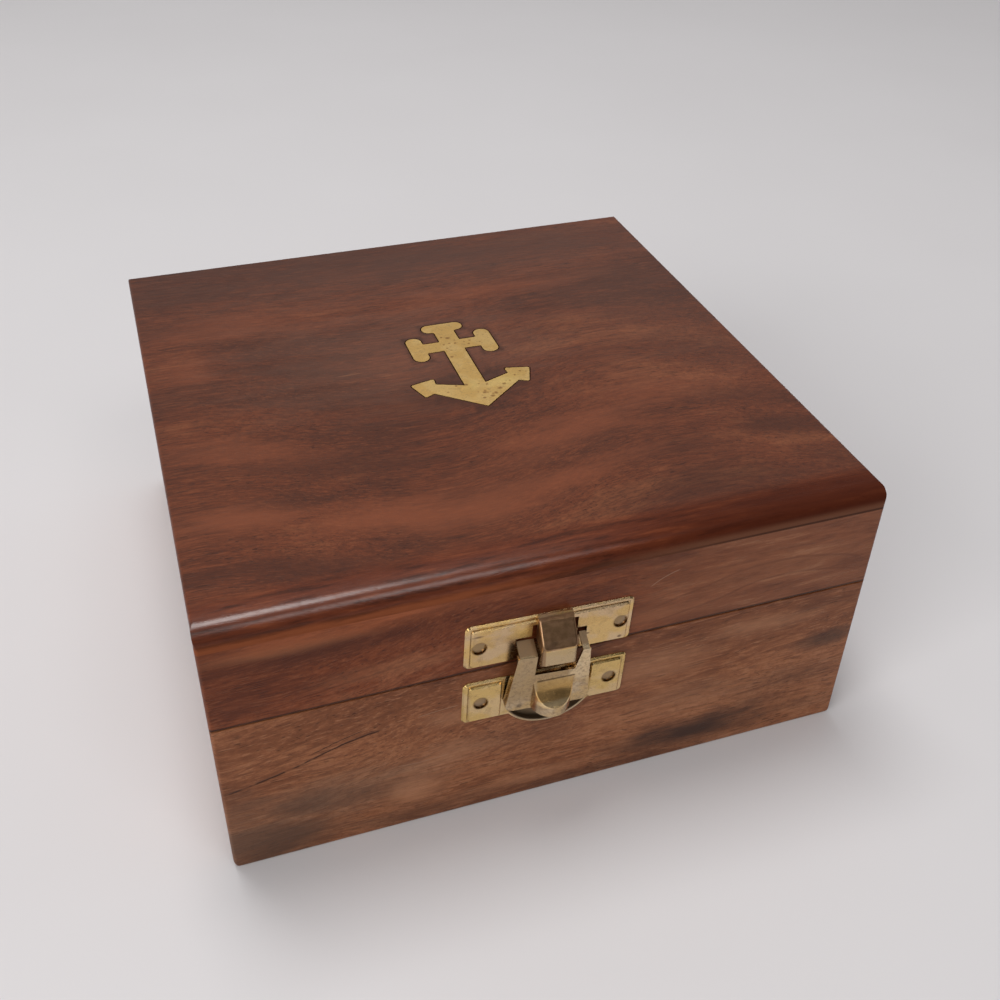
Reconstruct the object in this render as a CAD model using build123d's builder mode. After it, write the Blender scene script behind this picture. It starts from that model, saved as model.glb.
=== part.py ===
from build123d import *
import os
from math import cos, radians, sin, tan

# Ditty box: a square rosewood box with a flat hinged lid, a brass anchor let into the lid and a
# stamped brass latch at the front.
# Millimetres. Origin at the centre of the underside, +Z up, the latch faces -Y, +X to its right.

os.makedirs("parts", exist_ok=True)

# ---------------------------------------------------------------- box
box_width = 150.0          # side to side, X
box_depth = 150.0          # front to back, Y
base_height = 44.25        # underside to the rim of the base
seam_gap = 0.3             # air between the two rims when the lid is shut
lid_wall_height = 21.15    # rim of the lid to the underside of its top board
top_thickness = 5.2        # top board
wall_thickness = 9.0       # all eight walls
floor_thickness = 4.0      # bottom board
floor_rabbet = 4.0         # how far the bottom board reaches under the walls
corner_tongue = 4.0        # end grain of the front and back boards seen at the sides

foot_round = 2.5           # bottom edges at the two sides
foot_ease = 0.8            # bottom edges at the front and the back
front_top_round = 4.0      # front edge of the lid
edge_round = 0.8           # the other top edges and the upright corners
rim_round = 0.2            # edges of the two rims along the seam

# ---------------------------------------------------------------- lid hinges
hinge_inset = 30.0         # side of the box to the middle of a hinge
hinge_setback = 3.0        # pin axis in from the back face
bevel_angle = 53.5         # bevel of each rim behind the pin, from the horizontal; the two meet as a stop
leaf_length = 22.0
leaf_reach = 5.2           # pin axis to the far edge of a leaf
leaf_thickness = 0.8
knuckle_radius = 1.25
hinge_pin_radius = 0.6
hinge_pin_fit = 0.05       # radial play of the pin in the knuckles
lid_knuckle_length = 7.4   # middle knuckle, on the lid's leaf
knuckle_gap = 0.2          # end play between knuckles
knuckle_clearance = 0.25   # wood cleared round the knuckles
screw_spacing = 13.0
screw_inset = 3.3          # pin axis to the screws
screw_head_radius = 1.15
screw_shank_radius = 0.7
screw_length = 7.0
screw_slot = 0.4

# ---------------------------------------------------------------- anchor inlay
anchor_x = 1.95
anchor_y = 3.0
anchor_thickness = 1.2
glue_line = 0.3            # pocket wider than the brass all round
shank_width = 5.3
crown_drop = 20.5          # centre of the anchor down to the point of its crown
head_rise = 19.0           # centre up to the middle of the head bar
head_width = 11.0
head_height = 3.9
stock_rise = 9.5
stock_height = 4.6
stock_reach = 11.3         # centre line to the outside of a stock knob
knob_width = 4.1
knob_height = 11.8
palm_tip = (15.5, -6.6)
palm_upper_barb = (9.2, -5.2)
palm_lower_barb = (13.3, -12.8)
arm_upper = (9.4, -7.7)    # arm meets the palm, upper side
arm_lower = (10.9, -11.6)  # arm meets the palm, lower side
throat_drop = 10.2         # arm's upper edge meets the shank
neck_round = 0.8           # shank into the head bar
stock_neck_round = 0.4     # shank into the stock, stock into its knobs
tip_round = 0.5            # points of the palms

# ---------------------------------------------------------------- latch plates
sheet = 0.5                # stamped brass sheet
plate_width = 37.8
plate_height = 11.9
plate_corner = 1.3
catch_plate_x = -3.4       # the latch was nailed on a little left of the middle
base_plate_x = -3.9
plate_tilt = -2.2          # and a little askew, in degrees
middle_yaw = 2.5           # nose and lever are twisted, their right side stands further out
border = 1.2               # flat rim round the raised panels, at the ends
upper_border = 0.95
lower_border = 0.6
border_bevel = 0.35        # outer edge of the rim
panel_raise = 0.5
panel_bevel = 0.35
panel_corner = 0.8
catch_setback = 0.8        # seam to the lower edge of the catch plate
base_plate_drop = 3.7      # seam to the upper edge of the base plate
panel_gap_half = 10.2      # half the width left flat behind the lever
catch_nail_spacing = 31.7
base_nail_spacing = 29.8
nail_head_radius = 1.4
nail_head_dome = 0.25
nail_shank_radius = 0.6
nail_length = 7.0
nail_sink = 0.15           # crown of a nail head below the raised panel
dish_play = 0.2            # dished hole wider than the nail head
dish_depth = 0.6
nail_boss = 2.0            # solid disc round a nail, behind the raised panel

# nose of the catch plate: a hood pressed out of the sheet, open behind
nose_x = -2.65
nose_width = 7.9
nose_ridge = (2.2, 0.6)    # out from the wood, down from the plate's top edge
nose_brow = (6.0, 5.1)
nose_chin = (6.0, 9.8)
nose_foot = (4.6, 11.2)
nose_lip = 2.2             # the curled foot ends this far out from the wood
nose_sheet = 0.6
nose_edge = 1.2            # rounded upright edges
nose_bend = 0.6            # rounded bends of the ridge, the brow and the chin
relief_width = 1.2
relief_height = 3.3
relief_rise = 2.2

# ---------------------------------------------------------------- latch lever and its pivot
lever_x = -4.25
lever_tilt = -2.5
lever_lean = 5.5           # the lever leans outward when shut
pivot_drop = 0.8           # pin below the middle of the base plate
pivot_out = 1.8            # pin axis out from the wood
pivot_pin_radius = 0.35
pivot_pin_fit = 0.05
flange_nose = 0.65         # round end of a flange or an ear about the pin
ear_gap = 0.2              # between an ear and the lever's flange
lever_front = 1.15         # pin axis to the lever's face
foot_drop = 1.9            # pin down to the feet of the legs
foot_corner = 1.8
foot_half = 9.4            # half width at the pin and below
fold_half = 8.0            # half width at the fold of the arms
flange_top = 10.5          # pin up to the end of the side flanges
crossbar_low = 7.0
crossbar_high = 9.2
window_left = 3.75         # lever's centre line to the left arm
window_right_low = 5.2     # centre line to the right arm, at the crossbar
window_right_high = 6.3    # and at the fold
fold_rise = 15.1
claw_depth = 2.6           # tips of the claws behind the pin axis
claw_rise = 1.6            # and above the fold
claw_inset = 0.4           # claws drawn in from the arms' outer edges
slit_height = 2.2
slit_play = 0.35

# thumb dome pressed out between the legs, cut off on a slope
dome_x = 0.8               # from the lever's centre line
dome_half = 4.55           # half width, and the radius of its round front
dome_reach = 4.9           # pin axis to the tip of the dome
dome_foot_drop = 1.4       # pin down to the dome's lower edge
dome_tip_rise = 1.5        # pin up to the lip of the slope
dome_lip_round = 0.35
dome_scoop = 0.55          # the slope is hollowed this much for the thumb

# lobe of the base plate below the lever, with a dish pressed into the wood
lobe_x = -2.7
lobe_rise = 1.4            # middle of the plate up to the lobe's centre
dish_radius = 11.0
dish_rim = 0.6             # lobe wider than the mouth of the dish
dish_wall = 0.4            # sheet thinned by the pressing
dish_chord_drop = 4.9      # middle of the plate down to the dish's straight upper edge
dish_sink = 1.2            # plate's face down to the floor of the dish

# ---------------------------------------------------------------- worked out
seam_z = base_height + seam_gap / 2
lid_rim_z = base_height + seam_gap
top_board_z = lid_rim_z + lid_wall_height
box_height = top_board_z + top_thickness
inner_width = box_width - 2 * wall_thickness
inner_depth = box_depth - 2 * wall_thickness
hinge_y = box_depth / 2 - hinge_setback
hinge_spacing = box_width - 2 * hinge_inset
bevel_rise = hinge_setback * tan(radians(bevel_angle))
catch_z = seam_z + catch_setback + plate_height / 2
base_plate_z = seam_z - base_plate_drop - plate_height / 2
pivot_z = base_plate_z - pivot_drop
panel_face = sheet + panel_raise
lever_back = lever_front - sheet


def front_plane(x, out, z, tilt, yaw=0.0, lean=0.0):
    """Plane on the front of the box: local x to the right, local y up, local z outward."""
    right = Vector(cos(radians(tilt)), 0, sin(radians(tilt)))
    up = Vector(-sin(radians(tilt)), 0, cos(radians(tilt)))
    outward = Vector(0, -1, 0)
    turned_right = right * cos(radians(yaw)) + outward * sin(radians(yaw))
    turned_out = outward * cos(radians(yaw)) - right * sin(radians(yaw))
    leaned_out = turned_out * cos(radians(lean)) - up * sin(radians(lean))
    return Plane(origin=(x, -box_depth / 2 - out, z), x_dir=turned_right, z_dir=leaned_out)


def side_of(face):
    """Plane square to a front plane: local x outward, local y up, local z to the left."""
    return Plane(origin=face.origin, x_dir=face.z_dir, z_dir=-face.x_dir)


def level_of(face):
    """Plane square to a front plane: local x to the right, local y inward, local z up."""
    return Plane(origin=face.origin, x_dir=face.x_dir, z_dir=face.y_dir)


catch_face = front_plane(catch_plate_x, 0, catch_z, plate_tilt)
base_face = front_plane(base_plate_x, 0, base_plate_z, plate_tilt)
nose_face = front_plane(nose_x, 0, catch_z + plate_height / 2, plate_tilt, middle_yaw)
pivot_face = front_plane(lever_x, pivot_out, pivot_z, lever_tilt, middle_yaw)
lever_face = front_plane(lever_x, pivot_out, pivot_z, lever_tilt, middle_yaw, lever_lean)

# left and right edges of the two claws, from the lever's centre line
claws = [(claw_inset - fold_half, -window_left), (window_right_high, fold_half - claw_inset / 2)]

# ---------------------------------------------------------------- outer forms of base and lid
with BuildPart() as base_form:
    with BuildSketch(Plane.XY):
        RectangleRounded(box_width, box_depth, edge_round)
    extrude(amount=base_height)
    with BuildSketch(Plane.YZ) as foot_profile:
        with Locations((0, base_height / 2)):
            Rectangle(box_depth, base_height)
        fillet(foot_profile.vertices().group_by(Axis.Y)[0], foot_ease)
        fillet(foot_profile.vertices().group_by(Axis.Y)[-1], rim_round)
    extrude(amount=box_width, both=True, mode=Mode.INTERSECT)
    with BuildSketch(Plane.XZ) as foot_end_profile:
        with Locations((0, base_height / 2)):
            Rectangle(box_width, base_height)
        fillet(foot_end_profile.vertices().group_by(Axis.Y)[0], foot_round)
        fillet(foot_end_profile.vertices().group_by(Axis.Y)[-1], rim_round)
    extrude(amount=box_depth, both=True, mode=Mode.INTERSECT)

with BuildPart() as lid_form:
    with BuildSketch(Plane.XY.offset(lid_rim_z)):
        RectangleRounded(box_width, box_depth, edge_round)
    extrude(amount=box_height - lid_rim_z)
    with BuildSketch(Plane.YZ) as lid_profile:
        with Locations((0, (lid_rim_z + box_height) / 2)):
            Rectangle(box_depth, box_height - lid_rim_z)
        fillet(lid_profile.vertices().group_by(Axis.Y)[0], rim_round)
        fillet(lid_profile.vertices().group_by(Axis.Y)[-1].sort_by(Axis.X)[0], front_top_round)
        fillet(lid_profile.vertices().group_by(Axis.Y)[-1].sort_by(Axis.X)[-1], edge_round)
    extrude(amount=box_width, both=True, mode=Mode.INTERSECT)
    with BuildSketch(Plane.XZ) as lid_end_profile:
        with Locations((0, (lid_rim_z + box_height) / 2)):
            Rectangle(box_width, box_height - lid_rim_z)
        fillet(lid_end_profile.vertices().group_by(Axis.Y)[0], rim_round)
        fillet(lid_end_profile.vertices().group_by(Axis.Y)[-1], edge_round)
    extrude(amount=box_depth, both=True, mode=Mode.INTERSECT)


def cross_board_outline(side):
    """Plan of a front (side -1) or back (side 1) board, rabbeted for the side boards."""
    with Locations((0, side * (box_depth - wall_thickness) / 2)):
        Rectangle(box_width, wall_thickness)
    rabbet = wall_thickness - corner_tongue
    rabbet_y = side * (box_depth / 2 - corner_tongue - rabbet / 2)
    with Locations(*[(end * (box_width - wall_thickness) / 2, rabbet_y) for end in (-1, 1)]):
        Rectangle(wall_thickness, rabbet, mode=Mode.SUBTRACT)


def side_board_outline(side):
    """Plan of a left (side -1) or right (side 1) board."""
    with Locations((side * (box_width - wall_thickness) / 2, 0)):
        Rectangle(wall_thickness, box_depth - 2 * corner_tongue)


def hinge_mortises(rim_z, into):
    """Wood cleared for the two hinges in a rim; into is -1 down into the base and 1 up into the lid."""
    with BuildPart() as mortises:
        for x in (-hinge_spacing / 2, hinge_spacing / 2):
            with BuildSketch(Plane.XY.offset(rim_z)):
                with Locations((x, hinge_y - leaf_reach / 2)):
                    Rectangle(leaf_length, leaf_reach)
            extrude(amount=into * leaf_thickness)
            with BuildSketch(Plane.YZ.offset(x)):
                with Locations((hinge_y, seam_z)):
                    Circle(knuckle_radius + knuckle_clearance)
            extrude(amount=leaf_length / 2, both=True)
            with BuildSketch(Plane.XY.offset(rim_z)):
                with Locations((x, hinge_y - screw_inset)):
                    with Locations((-screw_spacing / 2, 0), (screw_spacing / 2, 0)):
                        Circle(screw_shank_radius)
            extrude(amount=into * screw_length)
    return mortises.part


def bevel_wedge(rim_z, into):
    """Wedge taken off the back edge of a rim, behind the pin axis."""
    with BuildPart() as wedge:
        with BuildSketch(Plane.YZ):
            with BuildLine():
                Polyline((hinge_y, rim_z), (hinge_y + 2 * hinge_setback, rim_z),
                         (hinge_y + 2 * hinge_setback, rim_z + 2 * into * bevel_rise), close=True)
            make_face()
        extrude(amount=box_width, both=True)
    return wedge.part


def nail_holes(face, spacing):
    """Holes in the wood for a plate's two nails."""
    with BuildPart() as holes:
        with BuildSketch(face):
            with Locations((-spacing / 2, 0), (spacing / 2, 0)):
                Circle(nail_shank_radius)
        extrude(amount=-nail_length)
    return holes.part


def dish_outline(radius, chord_rise):
    """Part of the lobe's circle below a level chord."""
    with Locations((lobe_x - base_plate_x, lobe_rise)):
        Circle(radius)
    with Locations((lobe_x - base_plate_x, -dish_chord_drop + chord_rise + radius)):
        Rectangle(3 * radius, 2 * radius, mode=Mode.SUBTRACT)


def dish_block(wall):
    """Solid that fills the dish from the plate's face inward, larger all round by a wall."""
    with BuildPart() as block:
        with BuildSketch(base_face.offset(sheet)):
            dish_outline(dish_radius + wall, wall)
        extrude(amount=-dish_sink - wall)
    return block.part


with BuildPart() as floor_seat:
    with BuildSketch(Plane.XY):
        Rectangle(inner_width + 2 * floor_rabbet, inner_depth + 2 * floor_rabbet)
    extrude(amount=floor_thickness)

# ---------------------------------------------------------------- base boards
with BuildPart() as base_front:
    with BuildSketch(Plane.XY):
        cross_board_outline(-1)
    extrude(amount=base_height)
    add(floor_seat.part, mode=Mode.SUBTRACT)
    add(base_form.part, mode=Mode.INTERSECT)
    add(dish_block(dish_wall), mode=Mode.SUBTRACT)
    add(nail_holes(base_face, base_nail_spacing), mode=Mode.SUBTRACT)
base_front.part.label = "base_front"

with BuildPart() as base_back:
    with BuildSketch(Plane.XY):
        cross_board_outline(1)
    extrude(amount=base_height)
    add(floor_seat.part, mode=Mode.SUBTRACT)
    add(base_form.part, mode=Mode.INTERSECT)
    add(bevel_wedge(base_height, -1), mode=Mode.SUBTRACT)
    add(hinge_mortises(base_height, -1), mode=Mode.SUBTRACT)
base_back.part.label = "base_back"

with BuildPart() as base_left:
    with BuildSketch(Plane.XY):
        side_board_outline(-1)
    extrude(amount=base_height)
    add(floor_seat.part, mode=Mode.SUBTRACT)
    add(base_form.part, mode=Mode.INTERSECT)
base_left.part.label = "base_left"

with BuildPart() as base_right:
    with BuildSketch(Plane.XY):
        side_board_outline(1)
    extrude(amount=base_height)
    add(floor_seat.part, mode=Mode.SUBTRACT)
    add(base_form.part, mode=Mode.INTERSECT)
base_right.part.label = "base_right"

with BuildPart() as base_bottom:
    with BuildSketch(Plane.XY):
        Rectangle(inner_width + 2 * floor_rabbet, inner_depth + 2 * floor_rabbet)
    extrude(amount=floor_thickness)
base_bottom.part.label = "base_bottom"

# ---------------------------------------------------------------- lid boards
with BuildPart() as lid_front:
    with BuildSketch(Plane.XY.offset(lid_rim_z)):
        cross_board_outline(-1)
    extrude(amount=lid_wall_height)
    add(lid_form.part, mode=Mode.INTERSECT)
    add(nail_holes(catch_face, catch_nail_spacing), mode=Mode.SUBTRACT)
lid_front.part.label = "lid_front"

with BuildPart() as lid_back:
    with BuildSketch(Plane.XY.offset(lid_rim_z)):
        cross_board_outline(1)
    extrude(amount=lid_wall_height)
    add(lid_form.part, mode=Mode.INTERSECT)
    add(bevel_wedge(lid_rim_z, 1), mode=Mode.SUBTRACT)
    add(hinge_mortises(lid_rim_z, 1), mode=Mode.SUBTRACT)
lid_back.part.label = "lid_back"

with BuildPart() as lid_left:
    with BuildSketch(Plane.XY.offset(lid_rim_z)):
        side_board_outline(-1)
    extrude(amount=lid_wall_height)
    add(lid_form.part, mode=Mode.INTERSECT)
lid_left.part.label = "lid_left"

with BuildPart() as lid_right:
    with BuildSketch(Plane.XY.offset(lid_rim_z)):
        side_board_outline(1)
    extrude(amount=lid_wall_height)
    add(lid_form.part, mode=Mode.INTERSECT)
lid_right.part.label = "lid_right"

# ---------------------------------------------------------------- anchor inlay and the top board
def corners_at(outline, points):
    """Corners of a symmetrical outline at the given points, on both sides of its centre line."""
    found = []
    for vertex in outline.vertices():
        if any(abs(abs(vertex.X) - x) < 0.05 and abs(vertex.Y - y) < 0.05 for x, y in points):
            found.append(vertex)
    return found


with BuildSketch() as anchor_shape:
    with BuildLine():
        arm = [(0, -crown_drop), arm_lower, palm_lower_barb, palm_tip, palm_upper_barb, arm_upper,
               (shank_width / 2, -throat_drop), (0, -throat_drop)]
        Polyline(*arm, close=True)
    make_face()
    mirror(about=Plane.YZ)
    with Locations((0, (head_rise - throat_drop) / 2)):
        Rectangle(shank_width, head_rise + throat_drop)
    with Locations((0, stock_rise)):
        Rectangle(2 * stock_reach - knob_width, stock_height)
    with Locations((-stock_reach + knob_width / 2, stock_rise), (stock_reach - knob_width / 2, stock_rise)):
        RectangleRounded(knob_width, knob_height, knob_width / 2 - 0.05)
    with Locations((0, head_rise)):
        RectangleRounded(head_width, head_height, head_height / 2 - 0.05)
    stock_necks = []
    for neck_x in (shank_width / 2, stock_reach - knob_width):
        stock_necks.append((neck_x, stock_rise - stock_height / 2))
        stock_necks.append((neck_x, stock_rise + stock_height / 2))
    fillet(corners_at(anchor_shape, [(shank_width / 2, head_rise - head_height / 2)]), neck_round)
    fillet(corners_at(anchor_shape, stock_necks), stock_neck_round)
    fillet(corners_at(anchor_shape, [palm_tip, palm_upper_barb, palm_lower_barb]), tip_round)

with BuildSketch(Plane.XY.offset(box_height - anchor_thickness)) as anchor_outline:
    with Locations((anchor_x, anchor_y)):
        add(anchor_shape.sketch)

with BuildPart() as anchor_inlay:
    add(anchor_outline.sketch)
    extrude(amount=anchor_thickness)
anchor_inlay.part.label = "anchor_inlay"

with BuildPart() as lid_top:
    with BuildSketch(Plane.XY.offset(top_board_z)):
        Rectangle(box_width, box_depth)
    extrude(amount=top_thickness)
    add(lid_form.part, mode=Mode.INTERSECT)
    with BuildSketch(Plane.XY.offset(box_height - anchor_thickness)):
        offset(anchor_outline.sketch, amount=glue_line, kind=Kind.ARC)
    extrude(amount=anchor_thickness, mode=Mode.SUBTRACT)
lid_top.part.label = "lid_top"

# ---------------------------------------------------------------- latch plates, nails and pin
def raised_panel(face, left, right):
    """Panel pressed out of a plate between two local x positions; returns its skin and its hollow."""
    width = right - left
    height = plate_height - upper_border - lower_border
    middle = ((left + right) / 2, (lower_border - upper_border) / 2)
    with BuildPart() as skin:
        with BuildSketch(face):
            with Locations(middle):
                RectangleRounded(width, height, panel_corner)
        extrude(amount=panel_face)
        chamfer(skin.faces().sort_by(Axis(face.origin, face.z_dir))[-1].edges(), panel_bevel)
    with BuildPart() as hollow:
        with BuildSketch(face):
            with Locations(middle):
                Rectangle(width - 2 * sheet, height - 2 * sheet)
        extrude(amount=panel_raise)
    return skin.part, hollow.part


def plate_blank(face):
    """A plate's outline with the outer edge of its rim bevelled."""
    with BuildPart() as blank:
        with BuildSketch(face):
            RectangleRounded(plate_width, plate_height, plate_corner)
        extrude(amount=sheet)
        chamfer(blank.faces().sort_by(Axis(face.origin, face.z_dir))[-1].edges(), border_bevel)
    return blank.part


def nails(face, spacing):
    """A plate's two domed nails."""
    seat = panel_face - dish_depth
    crown = panel_face - nail_sink
    sphere = (nail_head_radius ** 2 + nail_head_dome ** 2) / (2 * nail_head_dome)
    with BuildPart() as pair:
        with BuildSketch(face.offset(seat)):
            with Locations((-spacing / 2, 0), (spacing / 2, 0)):
                Circle(nail_head_radius)
        extrude(amount=crown - seat + nail_head_dome)
        with BuildPart(mode=Mode.INTERSECT):
            with Locations(face.offset(crown - sphere)):
                with Locations((-spacing / 2, 0, 0), (spacing / 2, 0, 0)):
                    Sphere(sphere, rotation=(90, 0, 0))
        with BuildSketch(face.offset(-nail_length)):
            with Locations((-spacing / 2, 0), (spacing / 2, 0)):
                Circle(nail_shank_radius)
        extrude(amount=nail_length + seat)
    return pair.part


def dishes(face, spacing):
    """Dished holes of a plate for its two nails."""
    with BuildPart() as holes:
        with BuildSketch(face.offset(panel_face - dish_depth)):
            with Locations((-spacing / 2, 0), (spacing / 2, 0)):
                Circle(nail_head_radius + dish_play)
        extrude(amount=2 * dish_depth)
        with BuildSketch(face.offset(-1)):
            with Locations((-spacing / 2, 0), (spacing / 2, 0)):
                Circle(nail_shank_radius)
        extrude(amount=panel_face + 1)
    return holes.part


def bosses(face, spacing):
    """Solid discs behind a raised panel, under the nails."""
    with BuildPart() as discs:
        with BuildSketch(face):
            with Locations((-spacing / 2, 0), (spacing / 2, 0)):
                Circle(nail_boss)
        extrude(amount=panel_raise)
    return discs.part


catch_skin, catch_hollow = raised_panel(catch_face, border - plate_width / 2, plate_width / 2 - border)
left_skin, left_hollow = raised_panel(base_face, border - plate_width / 2, -panel_gap_half)
right_skin, right_hollow = raised_panel(base_face, panel_gap_half, plate_width / 2 - border)

# the nose's side profile hangs from the plate's top edge; the hollow is the same profile drawn in
nose_corners = [(0, 0), (sheet, 0), (nose_ridge[0], -nose_ridge[1]), (nose_brow[0], -nose_brow[1]),
                (nose_chin[0], -nose_chin[1]), (nose_foot[0], -nose_foot[1]), (0, -nose_foot[1])]

with BuildPart() as wood_front:
    with BuildSketch(base_face.offset(sheet / 2)):
        Rectangle(plate_width, 4 * plate_height)
    extrude(amount=-2 * sheet)

across = Axis(nose_face.origin, nose_face.x_dir)
outward = Axis(nose_face.origin, nose_face.z_dir)

with BuildPart() as nose_form:
    with BuildSketch(side_of(nose_face)) as nose_profile:
        with BuildLine():
            Polyline(*nose_corners, close=True)
        make_face()
    extrude(amount=nose_width / 2, both=True)
    with BuildSketch(level_of(nose_face)) as nose_plan:
        with Locations((0, -nose_brow[0] / 2)):
            Rectangle(nose_width, nose_brow[0])
        fillet(nose_plan.vertices().sort_by(Axis.Y)[:2], nose_edge)
    extrude(amount=-2 * plate_height, mode=Mode.INTERSECT)
    fillet(nose_form.edges().filter_by(across).sort_by(outward)[-3:], nose_bend)
    add(wood_front.part, mode=Mode.SUBTRACT)

with BuildPart() as nose_hollow:
    with BuildSketch(side_of(nose_face)) as hollow_profile:
        with BuildLine():
            Polyline(*nose_corners, close=True)
        make_face()
        offset(amount=-nose_sheet, kind=Kind.INTERSECTION, mode=Mode.REPLACE)
        with Locations((0, -nose_foot[1] / 2)):
            Rectangle(3 * nose_sheet, nose_foot[1] - 4 * nose_sheet)
        with Locations((nose_lip / 2 - 1, -nose_foot[1] + nose_sheet / 2)):
            Rectangle(nose_lip + 2, 2 * nose_sheet)
    extrude(amount=nose_width / 2 - nose_sheet, both=True)

with BuildPart() as catch_plate:
    add(plate_blank(catch_face))
    add(catch_skin)
    add(catch_hollow, mode=Mode.SUBTRACT)
    add(bosses(catch_face, catch_nail_spacing))
    add(dishes(catch_face, catch_nail_spacing), mode=Mode.SUBTRACT)
    add(nose_form.part)
    add(nose_hollow.part, mode=Mode.SUBTRACT)
    with BuildSketch(catch_face):
        with Locations((nose_x - catch_plate_x, relief_rise)):
            with Locations(*[(side * (nose_width + relief_width) / 2, 0) for side in (-1, 1)]):
                Rectangle(relief_width, relief_height)
    extrude(amount=panel_face, mode=Mode.SUBTRACT)
    with BuildSketch(catch_face):
        for inner, outer in claws:
            tip = Vector((inner + outer) / 2, fold_rise + claw_rise, -claw_depth)
            with Locations(catch_face.to_local_coords(lever_face.from_local_coords(tip))):
                Rectangle(outer - inner + 2 * slit_play, slit_height)
    extrude(amount=panel_face, mode=Mode.SUBTRACT)
catch_plate.part.label = "catch_plate"

with BuildPart() as catch_plate_nails:
    add(nails(catch_face, catch_nail_spacing))
catch_plate_nails.part.label = "catch_plate_nails"

# the pin's ears stand inside the lever's flanges
ear_outer = foot_half - sheet - ear_gap

with BuildPart() as ear_pair:
    with BuildSketch(side_of(pivot_face)):
        Circle(flange_nose)
        with Locations((-pivot_out / 2, 0)):
            Rectangle(pivot_out - sheet / 2, 2 * flange_nose)
    extrude(amount=ear_outer, both=True)
    with BuildSketch(side_of(pivot_face)):
        with Locations((-pivot_out / 2, 0)):
            Rectangle(4 * pivot_out, 4 * flange_nose)
    extrude(amount=ear_outer - sheet, both=True, mode=Mode.SUBTRACT)
    with BuildSketch(side_of(pivot_face)):
        Circle(pivot_pin_radius)
    extrude(amount=ear_outer, both=True, mode=Mode.SUBTRACT)
    add(wood_front.part, mode=Mode.SUBTRACT)

with BuildPart() as latch_base_plate:
    add(plate_blank(base_face))
    with BuildSketch(base_face.offset(sheet)):
        Rectangle(2 * panel_gap_half, 2 * plate_height)
    extrude(amount=plate_height, mode=Mode.SUBTRACT)
    with BuildSketch(base_face):
        with Locations((lobe_x - base_plate_x, lobe_rise)):
            Circle(dish_radius + dish_rim)
        with Locations((lobe_x - base_plate_x, lobe_rise + dish_radius)):
            Rectangle(3 * dish_radius, 2 * (lobe_rise + dish_radius + dish_chord_drop), mode=Mode.SUBTRACT)
    extrude(amount=sheet)
    add(left_skin)
    add(right_skin)
    add(left_hollow, mode=Mode.SUBTRACT)
    add(right_hollow, mode=Mode.SUBTRACT)
    add(bosses(base_face, base_nail_spacing))
    add(dishes(base_face, base_nail_spacing), mode=Mode.SUBTRACT)
    add(dish_block(dish_wall))
    add(dish_block(0), mode=Mode.SUBTRACT)
    add(ear_pair.part)
latch_base_plate.part.label = "latch_base_plate"

with BuildPart() as latch_base_nails:
    add(nails(base_face, base_nail_spacing))
latch_base_nails.part.label = "latch_base_nails"

with BuildPart() as latch_pivot_pin:
    with BuildSketch(side_of(pivot_face)):
        Circle(pivot_pin_radius)
    extrude(amount=foot_half, both=True)
latch_pivot_pin.part.label = "latch_pivot_pin"

# ---------------------------------------------------------------- latch lever
# the sheet seen from the side: legs and arms in one plane, claws folded back to the catch plate
claw_corner = fold_rise - sheet * (1 - claw_rise / (claw_depth + lever_front))

# the dome's slope from the crossbar to its lip, hollowed in the middle; the skin is measured square to it
scoop_top = Vector(lever_front, crossbar_low)
scoop_tip = Vector(dome_reach, dome_tip_rise)
scoop_square = Vector(crossbar_low - dome_tip_rise, dome_reach - lever_front).normalized()
scoop_middle = (scoop_top + scoop_tip) / 2 - scoop_square * dome_scoop
skin = scoop_square * sheet


def dome_plan(radius, back):
    """Plan of the dome: a half circle at its front and straight sides back to the lever's sheet."""
    centre = dome_half - dome_reach
    with Locations((dome_x, centre)):
        Circle(radius)
    with Locations((dome_x, centre / 2)):
        Rectangle(2 * radius, -centre)
    with Locations((dome_x, dome_reach - back)):
        Rectangle(2 * dome_reach, 2 * dome_reach, mode=Mode.SUBTRACT)


with BuildPart() as dome_form:
    with BuildSketch(level_of(lever_face).offset(-dome_foot_drop)):
        dome_plan(dome_half, lever_back)
    extrude(amount=dome_foot_drop + crossbar_low)
    with BuildSketch(side_of(lever_face)):
        with BuildLine():
            Polyline(scoop_top, (0, crossbar_low), (0, -dome_foot_drop), (dome_reach, -dome_foot_drop),
                     scoop_tip)
            ThreePointArc(scoop_tip, scoop_middle, scoop_top)
        make_face()
    extrude(amount=2 * foot_half, both=True, mode=Mode.INTERSECT)
    fillet(dome_form.edges().filter_by(GeomType.BSPLINE), dome_lip_round)

with BuildPart() as dome_hollow:
    with BuildSketch(level_of(lever_face).offset(-2 * foot_drop)):
        dome_plan(dome_half - sheet, 0)
    extrude(amount=2 * foot_drop + crossbar_low)
    with BuildSketch(side_of(lever_face)):
        with BuildLine(mode=Mode.PRIVATE) as under_scoop:
            Polyline(scoop_top - skin, scoop_top - skin - (2 * lever_front, 0),
                     (-lever_front, -2 * foot_drop), (dome_reach, -2 * foot_drop), scoop_tip - skin)
            ThreePointArc(scoop_tip - skin, scoop_middle - skin, scoop_top - skin)
        make_face(under_scoop.edges())
    extrude(amount=2 * foot_half, both=True, mode=Mode.INTERSECT)

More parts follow.
